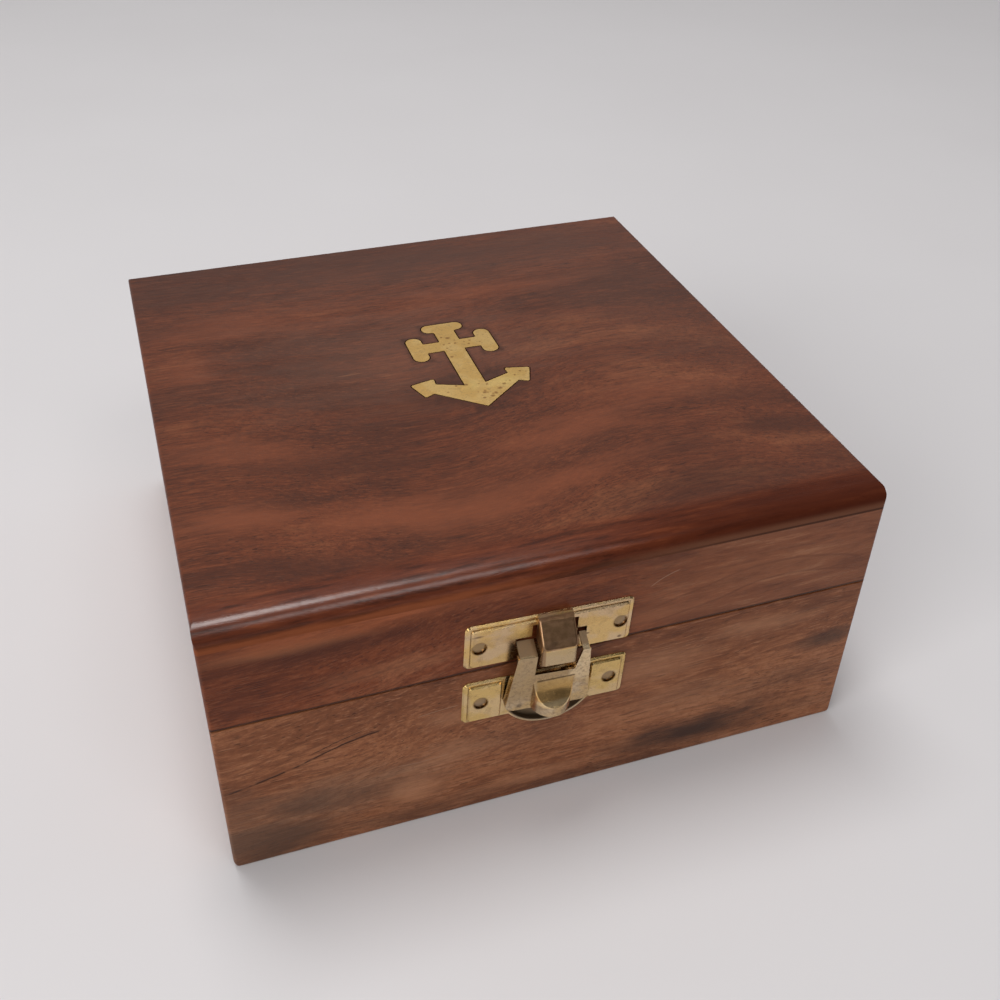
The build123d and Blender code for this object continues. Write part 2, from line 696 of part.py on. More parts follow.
with BuildPart() as latch_lever:
    with BuildSketch(side_of(lever_face)):
        with BuildLine():
            Polyline((lever_back, -foot_drop), (lever_front, -foot_drop), (lever_front, fold_rise),
                     (-claw_depth, fold_rise + claw_rise),
                     (-claw_depth, fold_rise + claw_rise - 1.1 * sheet),
                     (lever_back, claw_corner), close=True)
        make_face()
    extrude(amount=foot_half, both=True)
    with BuildSketch(side_of(lever_face)):
        with BuildLine():
            Polyline((0, -flange_nose), (lever_back + 0.1, -flange_nose), (lever_back + 0.1, flange_top),
                     (-flange_nose, flange_top - 3 * flange_nose), (-flange_nose, 0), (0, 0), close=True)
        make_face()
        Circle(flange_nose)
    extrude(amount=foot_half, both=True)
    with BuildSketch(lever_face.offset(-2 * flange_nose)):
        with BuildLine():
            Polyline((sheet - foot_half, -foot_drop), (foot_half - sheet, -foot_drop),
                     (foot_half - sheet, 0), (fold_half - sheet, claw_corner), (sheet - fold_half, claw_corner),
                     (sheet - foot_half, 0), close=True)
        make_face()
    extrude(amount=2 * flange_nose + lever_back, mode=Mode.SUBTRACT)
    with BuildSketch(lever_face.offset(-2 * claw_depth)) as lever_outline:
        with BuildLine():
            Polyline((-foot_half, -foot_drop), (foot_half, -foot_drop), (foot_half, 0),
                     (fold_half, fold_rise), (fold_half, 2 * fold_rise), (-fold_half, 2 * fold_rise),
                     (-fold_half, fold_rise), (-foot_half, 0), close=True)
        make_face()
        fillet(lever_outline.vertices().group_by(Axis.Y)[0], foot_corner)
    extrude(amount=4 * claw_depth, mode=Mode.INTERSECT)
    with BuildSketch(lever_face.offset(-2 * claw_depth)):
        with BuildLine():
            Polyline((-window_left, crossbar_high), (window_right_low, crossbar_high),
                     (window_right_high, fold_rise), (window_right_high, 2 * fold_rise),
                     (-window_left, 2 * fold_rise), close=True)
        make_face()
    extrude(amount=4 * claw_depth, mode=Mode.SUBTRACT)
    with BuildSketch(lever_face.offset(-2 * claw_depth)):
        for inner, outer in claws:
            with Locations(((inner + outer) / 2, 1.5 * fold_rise)):
                Rectangle(outer - inner, fold_rise)
        with Locations((0, fold_rise / 2 - foot_drop)):
            Rectangle(3 * foot_half, fold_rise + 2 * foot_drop)
    extrude(amount=4 * claw_depth, mode=Mode.INTERSECT)
    add(dome_form.part)
    add(dome_hollow.part, mode=Mode.SUBTRACT)
    with BuildSketch(side_of(pivot_face)):
        Circle(pivot_pin_radius + pivot_pin_fit)
    extrude(amount=2 * foot_half, both=True, mode=Mode.SUBTRACT)
latch_lever.part.label = "latch_lever"

# ---------------------------------------------------------------- lid hinges
half_leaf = leaf_length / 2
half_knuckle = lid_knuckle_length / 2
base_knuckles = [(-half_leaf, -half_knuckle - knuckle_gap), (half_knuckle + knuckle_gap, half_leaf)]
lid_knuckles = [(-half_knuckle, half_knuckle)]
tongue = knuckle_radius + knuckle_clearance


def hinge_leaf(x, rim_z, into, knuckles):
    """One leaf with its knuckles; into is -1 for the base's leaf and 1 for the lid's."""
    with BuildPart() as leaf:
        with BuildSketch(Plane.XY.offset(rim_z)):
            with Locations((x, hinge_y - (leaf_reach + tongue) / 2)):
                Rectangle(leaf_length, leaf_reach - tongue)
            for start, end in knuckles:
                with Locations((x + (start + end) / 2, hinge_y - leaf_reach / 2)):
                    Rectangle(end - start, leaf_reach)
        extrude(amount=into * leaf_thickness)
        for start, end in knuckles:
            with BuildSketch(Plane.YZ.offset(x + start)):
                with Locations((hinge_y, seam_z)):
                    Circle(knuckle_radius)
            extrude(amount=end - start)
        with BuildSketch(Plane.YZ.offset(x)):
            with Locations((hinge_y, seam_z)):
                Circle(hinge_pin_radius + hinge_pin_fit)
        extrude(amount=half_leaf, both=True, mode=Mode.SUBTRACT)
        add(screws(x, rim_z, into), mode=Mode.SUBTRACT)
    return leaf.part


def screws(x, rim_z, into):
    """The two countersunk screws of one leaf."""
    with BuildPart() as pair:
        with Locations((x, hinge_y - screw_inset, 0)):
            with Locations((-screw_spacing / 2, 0, 0), (screw_spacing / 2, 0, 0)):
                with Locations((0, 0, rim_z + into * leaf_thickness / 2)):
                    Cone(screw_shank_radius if into < 0 else screw_head_radius,
                         screw_head_radius if into < 0 else screw_shank_radius, leaf_thickness)
                with Locations((0, 0, rim_z + into * screw_length / 2)):
                    Cylinder(screw_shank_radius, screw_length)
    return pair.part


def screw_slots(x, rim_z):
    """Driver slots across the heads of one leaf's screws."""
    with BuildPart() as slots:
        with Locations((x, hinge_y - screw_inset, rim_z)):
            with Locations((-screw_spacing / 2, 0, 0), (screw_spacing / 2, 0, 0)):
                Box(3 * screw_head_radius, screw_slot, screw_slot)
    return slots.part


with BuildPart() as base_hinge_leaf_left:
    add(hinge_leaf(-hinge_spacing / 2, base_height, -1, base_knuckles))
base_hinge_leaf_left.part.label = "base_hinge_leaf_left"

with BuildPart() as base_hinge_leaf_right:
    add(hinge_leaf(hinge_spacing / 2, base_height, -1, base_knuckles))
base_hinge_leaf_right.part.label = "base_hinge_leaf_right"

with BuildPart() as lid_hinge_leaf_left:
    add(hinge_leaf(-hinge_spacing / 2, lid_rim_z, 1, lid_knuckles))
lid_hinge_leaf_left.part.label = "lid_hinge_leaf_left"

with BuildPart() as lid_hinge_leaf_right:
    add(hinge_leaf(hinge_spacing / 2, lid_rim_z, 1, lid_knuckles))
lid_hinge_leaf_right.part.label = "lid_hinge_leaf_right"

with BuildPart() as base_hinge_screws:
    for x in (-hinge_spacing / 2, hinge_spacing / 2):
        add(screws(x, base_height, -1))
        add(screw_slots(x, base_height), mode=Mode.SUBTRACT)
base_hinge_screws.part.label = "base_hinge_screws"

with BuildPart() as lid_hinge_screws:
    for x in (-hinge_spacing / 2, hinge_spacing / 2):
        add(screws(x, lid_rim_z, 1))
        add(screw_slots(x, lid_rim_z), mode=Mode.SUBTRACT)
lid_hinge_screws.part.label = "lid_hinge_screws"

with BuildPart() as hinge_pin_left:
    with Locations((-hinge_spacing / 2, hinge_y, seam_z)):
        Cylinder(hinge_pin_radius, leaf_length, rotation=(0, 90, 0))
hinge_pin_left.part.label = "hinge_pin_left"

with BuildPart() as hinge_pin_right:
    with Locations((hinge_spacing / 2, hinge_y, seam_z)):
        Cylinder(hinge_pin_radius, leaf_length, rotation=(0, 90, 0))
hinge_pin_right.part.label = "hinge_pin_right"

pieces = [base_front, base_back, base_left, base_right, base_bottom,
          lid_front, lid_back, lid_left, lid_right, lid_top, anchor_inlay,
          base_hinge_leaf_left, base_hinge_leaf_right, lid_hinge_leaf_left, lid_hinge_leaf_right,
          base_hinge_screws, lid_hinge_screws, hinge_pin_left, hinge_pin_right,
          catch_plate, catch_plate_nails, latch_base_plate, latch_base_nails, latch_pivot_pin, latch_lever]
for piece in pieces:
    export_step(piece.part, f"parts/{piece.part.label}.step")
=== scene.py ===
import math

import bpy
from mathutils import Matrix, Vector

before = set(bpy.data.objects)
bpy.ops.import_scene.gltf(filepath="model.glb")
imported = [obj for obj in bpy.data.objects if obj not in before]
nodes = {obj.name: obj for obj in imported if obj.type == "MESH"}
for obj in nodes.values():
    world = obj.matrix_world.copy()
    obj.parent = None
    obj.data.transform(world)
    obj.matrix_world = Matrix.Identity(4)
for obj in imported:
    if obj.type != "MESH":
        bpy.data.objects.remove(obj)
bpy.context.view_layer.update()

MM = 1000.0  # millimetres in a metre: the frame is in metres, and every mark below is placed in millimetres
LINE_SOFT = 0.6  # how soft the sides of a drawn line are
LINE_TAPER = 0.12  # share of a drawn line's length over which each end fades out
PATCH_SOFT = 0.9  # how soft the rim of a patch is


# ------------------------------------------------------------------ node helpers
class Net:
    """A material under construction: short calls that add and link shader nodes."""

    def __init__(self, name):
        self.material = bpy.data.materials.new(name)
        self.material.use_nodes = True
        self.tree = self.material.node_tree
        self.tree.nodes.clear()
        output = self.tree.nodes.new("ShaderNodeOutputMaterial")
        self.shader = self.tree.nodes.new("ShaderNodeBsdfPrincipled")
        self.tree.links.new(self.shader.outputs[0], output.inputs["Surface"])
        place = self.tree.nodes.new("ShaderNodeTexCoord")
        self.mm = self.vector("SCALE", place.outputs["Object"], scale=MM)
        split = self.tree.nodes.new("ShaderNodeSeparateXYZ")
        self.tree.links.new(self.mm, split.inputs[0])
        self.x, self.y, self.z = split.outputs

    def put(self, socket, value):
        """Link a socket to the value, or set it to the value."""
        if isinstance(value, bpy.types.NodeSocket):
            self.tree.links.new(value, socket)
        elif value is not None:
            socket.default_value = value

    def vector(self, operation, a, b=None, scale=None):
        node = self.tree.nodes.new("ShaderNodeVectorMath")
        node.operation = operation
        self.put(node.inputs[0], a)
        self.put(node.inputs[1], b)
        if scale is not None:
            self.put(node.inputs["Scale"], scale)
        return node.outputs[0]

    def math(self, operation, a, b=None, c=None):
        node = self.tree.nodes.new("ShaderNodeMath")
        node.operation = operation
        for socket, value in zip(node.inputs, (a, b, c)):
            self.put(socket, value)
        return node.outputs[0]

    def product(self, *factors):
        """The factors multiplied, from left to right."""
        result = factors[0]
        for factor in factors[1:]:
            result = self.math("MULTIPLY", result, factor)
        return result

    def most(self, *masks):
        """The largest of the masks."""
        result = masks[0]
        for mask in masks[1:]:
            result = self.math("MAXIMUM", result, mask)
        return result

    def apart(self, a, b):
        """Distance between two values."""
        return self.math("ABSOLUTE", self.math("SUBTRACT", a, b))

    def length(self, u, v):
        """Length of the vector (u, v)."""
        return self.math("SQRT", self.math("ADD", self.product(u, u), self.product(v, v)))

    def spread(self, value, width):
        """A value from 0 to 1, spread over a width about zero."""
        return self.math("MULTIPLY_ADD", value, width, -width / 2)

    def combine(self, x, y, z):
        node = self.tree.nodes.new("ShaderNodeCombineXYZ")
        for socket, value in zip(node.inputs, (x, y, z)):
            self.put(socket, value)
        return node.outputs[0]

    def texture(self, kind, place, scale, offset):
        """A texture node that reads the place scaled and moved; scale is in features per millimetre."""
        moved = self.vector("MULTIPLY_ADD", place, scale)
        self.put(moved.node.inputs[2], offset)
        node = self.tree.nodes.new(kind)
        self.put(node.inputs["Vector"], moved)
        self.put(node.inputs["Scale"], 1.0)
        return node

    def noise(self, place, scale, offset=(0, 0, 0), detail=3.0, rough=0.5, warp=0.0):
        """Fractal noise, 0 to 1."""
        node = self.texture("ShaderNodeTexNoise", place, scale, offset)
        self.put(node.inputs["Detail"], detail)
        self.put(node.inputs["Roughness"], rough)
        self.put(node.inputs["Distortion"], warp)
        return node.outputs["Fac"]

    def grain(self, place, along, across, offset, **kind):
        """Fractal noise drawn out along the first axis of the place."""
        return self.noise(place, (along, across, across), offset, **kind)

    def cells(self, place, scale, offset):
        """Distance to the nearest of scattered points."""
        return self.texture("ShaderNodeTexVoronoi", place, scale, offset).outputs["Distance"]

    def step(self, value, low, high, out_low=0.0, out_high=1.0):
        """Smooth step from low to high; low may be the larger."""
        node = self.tree.nodes.new("ShaderNodeMapRange")
        node.interpolation_type = "SMOOTHSTEP"
        if low > high:
            low, high, out_low, out_high = high, low, out_high, out_low
        for name, number in (("Value", value), ("From Min", low), ("From Max", high),
                             ("To Min", out_low), ("To Max", out_high)):
            self.put(node.inputs[name], number)
        return node.outputs[0]

    def ramp(self, value, stops):
        """Colour ramp; stops are (position, colour)."""
        node = self.tree.nodes.new("ShaderNodeValToRGB")
        ramp = node.color_ramp
        ramp.interpolation = "EASE"
        while len(ramp.elements) < len(stops):
            ramp.elements.new(0.5)
        for element, (position, colour) in zip(ramp.elements, stops):
            element.position = position
            element.color = (*colour, 1.0)
        self.put(node.inputs[0], value)
        return node.outputs[0]

    def mix(self, factor, a, b):
        """Colour a where the factor is 0, colour b where it is 1."""
        node = self.tree.nodes.new("ShaderNodeMix")
        node.data_type = "RGBA"
        self.put(node.inputs[0], factor)
        self.put(node.inputs[6], (*a, 1.0) if isinstance(a, tuple) else a)
        self.put(node.inputs[7], (*b, 1.0) if isinstance(b, tuple) else b)
        return node.outputs[2]

    def paint(self, colour, mask, strength, tone):
        """The colour with a tone laid over it where the mask is."""
        return self.mix(self.product(mask, strength), colour, tone)

    def stroke(self, across, along, path, width):
        """Mask of a drawn line: path lists (along, across) points in mm, from end to end."""
        node = self.tree.nodes.new("ShaderNodeFloatCurve")
        curve = node.mapping.curves[0]
        first, last = path[0][0], path[-1][0]
        low = min(p[1] for p in path) - 1.0
        high = max(p[1] for p in path) + 1.0
        spots = [((p[0] - first) / (last - first), (p[1] - low) / (high - low)) for p in path]
        while len(curve.points) < len(spots):
            curve.points.new(0.5, 0.5)
        for point, spot in zip(curve.points, spots):
            point.location = spot
        node.mapping.update()
        self.put(node.inputs["Value"],
                 self.math("MULTIPLY_ADD", along, 1 / (last - first), -first / (last - first)))
        height = self.math("MULTIPLY_ADD", node.outputs[0], high - low, low)
        line = self.step(self.apart(across, height), width * (1 + LINE_SOFT), width * (1 - LINE_SOFT) / 2)
        taper = (last - first) * LINE_TAPER
        inside = self.product(self.step(along, first, first + taper), self.step(along, last, last - taper))
        return self.product(line, inside)

    def strokes(self, across, along, lines):
        """Mask of several drawn lines; lines lists (path, width)."""
        return self.most(*[self.stroke(across, along, path, width) for path, width in lines])

    def oval(self, a, b, centre, radii):
        """Distance from the centre of an oval in two coordinates, 1 on its rim."""
        return self.length(self.product(self.math("SUBTRACT", a, centre[0]), 1 / radii[0]),
                           self.product(self.math("SUBTRACT", b, centre[1]), 1 / radii[1]))

    def spot(self, a, b, centre, radii, soft=0.5, ragged=None):
        """Mask of an oval patch in two coordinates; ragged is added to the distance to break its rim."""
        far = self.oval(a, b, centre, radii)
        if ragged is not None:
            far = self.math("ADD", far, ragged)
        return self.step(far, 1.0 + soft / 2, 1.0 - soft)

    def patches(self, a, b, drift, spots):
        """Mask of soft oval patches; spots lists (centre, radii, strength)."""
        return self.most(*[self.product(self.spot(a, b, centre, radii, PATCH_SOFT, drift), strength)
                           for centre, radii, strength in spots])

    def slab(self, a, b, centre, half, soft):
        """Mask of a rectangle in two coordinates; soft is the width of its edge in mm."""
        u = self.math("SUBTRACT", self.apart(a, centre[0]), half[0])
        v = self.math("SUBTRACT", self.apart(b, centre[1]), half[1])
        return self.step(self.most(u, v), soft / 2, -soft / 2)

    def bump(self, height, strength, distance_mm):
        node = self.tree.nodes.new("ShaderNodeBump")
        self.put(node.inputs["Strength"], strength)
        self.put(node.inputs["Distance"], distance_mm / MM)
        self.put(node.inputs["Height"], height)
        return node.outputs[0]

    def finish(self, **inputs):
        """Set or link inputs of the shader, an underscore standing for each space in a name."""
        for name, value in inputs.items():
            self.put(self.shader.inputs[name.replace("_", " ")], value)
        return self.material


# ------------------------------------------------------------------ wood
# four tones of each kind of board, from its dark lines to its light ones
TOP_TONES = ((0.054, 0.019, 0.012), (0.095, 0.029, 0.015), (0.150, 0.041, 0.018), (0.240, 0.078, 0.033))
LID_TONES = ((0.070, 0.017, 0.009), (0.135, 0.031, 0.011), (0.220, 0.055, 0.019), (0.330, 0.115, 0.050))
BASE_TONES = ((0.118, 0.036, 0.016), (0.240, 0.082, 0.033), (0.360, 0.138, 0.060), (0.475, 0.225, 0.118))
INNER_TONES = ((0.080, 0.036, 0.022), (0.140, 0.062, 0.036), (0.200, 0.092, 0.052), (0.270, 0.135, 0.080))
WOOD_TINT = (1.0, 0.70, 0.52, 1.0)  # of the wood's own reflection, under its coat
OILED = 0.15  # weight of the coat on a board without lacquer


def rosewood(name, along, offset, tones, gloss=0.36, shine=0.15, haze=0.22, bend=16.0,
             lacquer=None, rise=None, marks=None):
    """Oiled rosewood whose grain runs along X or Y.

    offset picks the place in the noise; gloss and haze are the roughness of the wood and of its coat,
    and bend is how far in mm the grain sways. rise(net) lifts the grain lines by some millimetres;
    marks(net, colour, height) adds what is particular to one board; lacquer(net) gives the coat where
    it isn't even.
    """
    net = Net(name)
    place = net.mm if along == "x" else net.combine(net.y, net.x, net.z)
    if rise is not None:
        lift = rise(net)
        place = net.vector("SUBTRACT", place, net.combine(0.0, lift, lift))
    shift = net.spread(net.grain(place, 0.012, 0.030, offset, detail=2.0), bend)
    bent = net.vector("ADD", place, net.combine(0.0, shift, shift))
    bands = net.grain(bent, 0.010, 0.045, offset, detail=2.0)
    figure = net.grain(bent, 0.055, 0.24, offset, detail=6.0, rough=0.72, warp=0.30)
    streaks = net.grain(bent, 0.050, 0.90, offset, detail=4.0, rough=0.62)
    fibres = net.grain(bent, 0.17, 1.5, offset, detail=5.0, rough=0.74)
    dashes = net.grain(bent, 0.13, 2.3, (offset[1], offset[2], offset[0]), detail=2.0, rough=0.6)
    pores = net.grain(bent, 0.24, 3.9, offset, detail=1.0)
    dust = net.grain(net.mm, 0.9, 0.9, offset, detail=4.0, rough=0.7)

    dark, brown, red, light = tones
    depth = net.math("ADD", net.product(bands, 0.50),
                     net.math("MULTIPLY_ADD", figure, 0.28, net.product(streaks, 0.22)))
    colour = net.ramp(depth, [(0.33, dark), (0.45, brown), (0.54, red), (0.66, light)])
    for mask, tone in ((net.step(streaks, 0.55, 0.72, 0.0, 0.45), dark),
                       (net.step(fibres, 0.34, 0.60, 0.50, 0.0), dark),
                       (net.step(fibres, 0.52, 0.74, 0.0, 0.42), light),
                       (net.step(dashes, 0.57, 0.68, 0.0, 0.34), light),
                       (net.step(dust, 0.48, 0.66, 0.0, 0.26), dark)):
        colour = net.mix(mask, colour, tone)
    pore = net.product(net.step(pores, 0.60, 0.68), net.step(figure, 0.66, 0.40, 0.35, 1.0))
    colour = net.paint(colour, pore, 0.62, tuple(c * 0.40 for c in dark))
    rough = net.math("MULTIPLY_ADD", fibres, 0.16, gloss - 0.08)
    height = net.math("SUBTRACT", net.product(fibres, 0.35), pore)
    if marks is not None:
        colour, height = marks(net, colour, height)
    return net.finish(Base_Color=colour, Roughness=rough, Normal=net.bump(height, 0.30, 0.10),
                      Specular_IOR_Level=shine, Specular_Tint=WOOD_TINT,
                      Coat_Weight=OILED if lacquer is None else lacquer(net),
                      Coat_Roughness=haze, Coat_Normal=net.bump(height, 0.13, 0.10))


def left_edge(net, colour, tone):
    """Dark arris where the front turns to the left side."""
    return net.mix(net.step(net.x, -74.6, -76.0, 0.0, 0.5), colour, tone)


# -- the lid board. The grain's wave on it: height in mm, turn per mm and start of the cosine; the share
# of the wave that is left at the back, and where along Y it begins to grow from there to the middle.
WAVE, WAVE_TURN, WAVE_START = -5.0, 0.0571, 0.971
WAVE_BACK, WAVE_Y = 0.25, 48.0


def top_rise(net):
    """Grain of the lid board: falls at the left, climbs past the anchor, falls again at the right."""
    wave = net.product(net.math("COSINE", net.math("MULTIPLY_ADD", net.x, WAVE_TURN, WAVE_START)), WAVE)
    return net.product(wave, net.step(net.y, WAVE_Y, 0.0, WAVE_BACK, 1.0))


def unwaved(spots):
    """Patches of the lid, their centres moved back by what the wave of the grain moves them."""
    moved = []
    for (x, y), radii, strength in spots:
        part = min(max((WAVE_Y - y) / WAVE_Y, 0.0), 1.0)
        share = WAVE_BACK + (1.0 - WAVE_BACK) * part * part * (3.0 - 2.0 * part)
        moved.append(((x, y - WAVE * math.cos(WAVE_TURN * x + WAVE_START) * share), radii, strength))
    return moved


# patches as (centre, radii, strength) and slabs as (centre, half size), in mm along X and Y
TOP_SHADE = unwaved([
    ((20, 64), (90, 12), 0.60), ((-58, 62), (24, 14), 0.35), ((62, 30), (24, 10), 0.45),
    ((-38, 13), (17, 8), 0.50), ((-12, -12), (32, 9), 0.48), ((-30, -33), (26, 6), 0.60),
    ((38, -46), (17, 5), 0.42), ((66, -46), (12, 6), 0.65), ((38, -60), (24, 8), 0.60),
    ((62, -30), (18, 5), 0.55), ((-52, -62), (26, 4), 0.55), ((22, 12), (18, 10), 0.22),
    ((60, -4), (16, 10), 0.35), ((56, 15), (16, 8), 0.30), ((70, -60), (10, 6), 0.35),
    ((18, -60), (12, 4), 0.35)])
TOP_FLAMES = unwaved([
    ((-52, 38), (28, 7), 0.40), ((22, 40), (30, 6), 0.40), ((-66, 18), (8, 9), 0.40),
    ((-58, -19), (18, 6), 0.50), ((14, -34), (22, 7), 0.60), ((-62, -43), (20, 5), 0.75),
    ((-18, -54), (44, 7), 0.70), ((45, -22), (26, 7), 0.34), ((55, -50), (16, 5), 0.10)])
# painted sheen: pale patches that stand in for the room's reflection in the lid board's lacquer
TOP_PAINTED_SHEEN = [((10, 58), (80, 20), 0.16), ((55, 20), (30, 40), 0.10), ((-12, 12), (44, 26), 0.26)]
ANCHOR_X = 1.95
ANCHOR_BARS = [((ANCHOR_X, 2.6), (3.4, 22.2)), ((ANCHOR_X, 12.5), (12.0, 3.2)),
               ((-7.3, 12.5), (2.9, 6.8)), ((11.2, 12.5), (2.9, 6.8)), ((ANCHOR_X, 22.0), (6.4, 2.8))]
ANCHOR_ARMS = ((ANCHOR_X, -8.0), (16.5, 9.0))
HALO_SOFT = 1.4

FLAME_RED = (0.245, 0.072, 0.032)
SHEEN_PAINTED_PALE = (0.205, 0.105, 0.072)
RUBBED_BROWN = (0.300, 0.125, 0.060)
DEEP_REDS = [(0.36, (0.042, 0.010, 0.005)), (0.52, (0.118, 0.026, 0.010)), (0.68, (0.205, 0.052, 0.019))]
CORNER_PAINTED_SHADE = (0.062, 0.013, 0.006)
ANCHOR_BAND_DARK = (0.034, 0.014, 0.009)
UNDER_BROWN = (0.170, 0.068, 0.036)
UNDER_EMBER = (0.270, 0.078, 0.030)
TOP_ARRIS = (0.030, 0.010, 0.007)
JOINT_DARK = (0.015, 0.006, 0.005)


def top_marks(net, colour, height):
    """Shadows, red flames and a painted pale sheen on the lid board, a dark band round the anchor, and the
    deep red of the front rounding, with painted shade at its right end, and the browner wood under it."""
    drift = net.spread(net.noise(net.mm, (0.05, 0.20, 0.2), (7, 3, 0), detail=7.0, rough=0.68), 2.2)
    level = net.math("SUBTRACT", net.y, top_rise(net))
    colour = net.mix(net.patches(net.x, level, drift, TOP_SHADE), colour, TOP_TONES[0])
    colour = net.paint(colour, net.patches(net.x, level, drift, TOP_FLAMES), 0.85, FLAME_RED)
    # painted sheen: a pale veil standing in for the room's reflection in the lacquer
    colour = net.mix(net.patches(net.x, net.y, drift, TOP_PAINTED_SHEEN), colour, SHEEN_PAINTED_PALE)
    lines = net.step(net.noise(net.mm, (0.10, 1.3, 1.0), (5, 8, 2), detail=2.0), 0.60, 0.72)
    blotches = net.product(net.spot(net.x, net.y, (-24, 3), (18, 6), PATCH_SOFT, drift), lines)
    colour = net.paint(colour, blotches, 0.35, RUBBED_BROWN)

    # the front rounding: deep red, with painted shade making it darkest at the right
    grainy = net.grain(net.mm, 0.07, 0.55, (2, 7, 1), detail=5.0, rough=0.65)
    deep = net.ramp(grainy, DEEP_REDS)
    colour = net.paint(colour, net.step(net.y, -63.5, -69.0), 0.80, deep)
    # painted shade on the rounding's right end
    corner = net.product(net.step(net.x, -5.0, 50.0), net.step(net.y, -65.0, -70.0))
    colour = net.paint(colour, corner, 0.80, CORNER_PAINTED_SHADE)

    # a dark band round the anchor's joint, broken up, on the upper face only
    halo = net.most(*[net.slab(net.x, net.y, centre, half, HALO_SOFT) for centre, half in ANCHOR_BARS],
                    net.spot(net.x, net.y, *ANCHOR_ARMS))
    patchy = net.step(net.noise(net.mm, (0.4, 0.4, 0.4), (1, 1, 6), detail=4.0), 0.30, 0.60, 0.25, 0.60)
    colour = net.mix(net.product(halo, patchy, net.step(net.z, 69.0, 69.8)), colour, ANCHOR_BAND_DARK)

    # the board's front edge under the rounding: brown at the right, glowing red at the left
    fore = net.step(net.y, -66.0, -72.0)
    low = net.product(fore, net.step(net.z, 68.4, 66.8))
    colour = net.mix(net.product(low, net.step(net.x, -10.0, 35.0, 0.0, 0.80)), colour, UNDER_BROWN)
    colour = left_edge(net, colour, TOP_ARRIS)
    ember = net.product(low, net.step(net.x, 5.0, -18.0, 0.0, 0.85), net.step(grainy, 0.38, 0.58, 0.60, 1.0))
    colour = net.mix(ember, colour, UNDER_EMBER)
    joint = net.product(net.step(net.z, 66.40, 66.1), net.step(net.x, 5.0, 50.0, 0.05, 0.60), fore)
    return net.mix(joint, colour, JOINT_DARK), height


def top_lacquer(net):
    """Lacquer of the lid board: thick on the rounding's left half, thin on its right, none under it."""
    thick = net.product(net.step(net.y, -67.0, -72.0), net.step(net.x, 25.0, -25.0))
    broken = net.step(net.noise(net.mm, (0.5, 1.2, 1.2), (6, 2, 9), detail=4.0), 0.34, 0.56, 0.72, 1.0)
    thin = net.product(net.step(net.y, -64.0, -69.0), net.step(net.x, -10.0, 35.0))
    coat = net.math("MULTIPLY_ADD", net.product(thick, broken), 0.62,
                    net.math("MULTIPLY_ADD", thin, -0.30, 0.38))
    return net.product(coat, net.step(net.z, 67.2, 69.2))


# -- the front boards. Patches as (centre, radii, strength) and lines as (path, width), in mm along X and Z
LID_SHADE = [((-52, 60), (26, 2.6), 0.65), ((-4, 59), (22, 3.2), 0.45), ((30, 65), (40, 2.0), 0.45),
             ((-68, 50), (7, 4), 0.40)]
LID_GLOW = [((-58, 62.8), (18, 1.8), 0.50), ((52, 55), (26, 5), 0.40), ((-40, 51), (16, 2.5), 0.35),
            ((23, 49), (13, 2.6), 0.65)]
LID_EMBERS = [((-42, 64.8), (32, 2.4), 0.95), ((-8, 65.5), (12, 2.0), 0.60)]
LID_ARCHES = [([(-62, 50), (-50, 51.5), (-36, 54), (-20, 57)], 0.35),
              ([(-66, 46.5), (-52, 49), (-36, 51), (-24, 52)], 0.25),
              ([(16, 50), (32, 54), (48, 57), (60, 56), (75, 50)], 0.35),
              ([(18, 46.5), (36, 49.5), (50, 52.5), (62, 51.5), (75, 46.5)], 0.30)]
LID_SCRATCH = [([(19, 57.5), (22, 59.5), (26, 61)], 0.12)]
BASE_CRACK = [([(-76, 24.3), (-68, 26), (-60, 28), (-48, 32), (-38, 33.8)], 0.27),
              ([(-56, 31.0), (-50, 33.0), (-44, 34.6)], 0.12)]
BASE_ARCHES = [([(-64, 30), (-52, 34), (-38, 38), (-26, 39)], 0.30),
               ([(-74, 30), (-58, 35), (-44, 40), (-30, 42)], 0.25),
               ([(24, 24), (40, 27), (58, 29), (74, 30)], 0.35),
               ([(16, 16), (36, 15), (58, 17), (74, 20)], 0.30)]
BASE_KNOT = ((-34.0, 11.0), (7.0, 4.5))
BASE_DARK_PATCHES = [((37, 7.5), (25, 5.0), 0.95), ((69, 28), (8, 2.8), 0.75), ((-58, 15), (9, 4.0), 0.60),
               ((-66, 6), (16, 8), 0.68), ((-30, 3), (26, 3.5), 0.40), ((12, 2), (30, 2.5), 0.45),
               ((0, 20), (8, 5), 0.25), ((-72, 20), (6, 9), 0.38), ((-52, 13), (14, 5), 0.32),
               ((34, 21), (16, 3.4), 0.30), ((60, 18), (18, 4), 0.28)]
BASE_DULL = [((-50, 17), (24, 8), 0.50), ((-68, 8), (18, 12), 0.45), ((-18, 22), (16, 5), 0.25)]
BASE_GLOW = [((-34, 11), (7, 5), 0.50), ((30, 20), (24, 6), 0.25), ((50, 38), (16, 3), 0.40),
             ((-5, 6), (18, 2), 0.35), ((20, 33), (18, 6), 0.42), ((-25, 32), (8, 3), 0.42),
             ((-25, 21), (8, 4), 0.30)]
BASE_SCRATCHES = [([(-33, 34.5), (-29, 35), (-23, 35.4)], 0.10),
                  ([(-38, 20.5), (-32, 20), (-25, 20.6)], 0.08)]

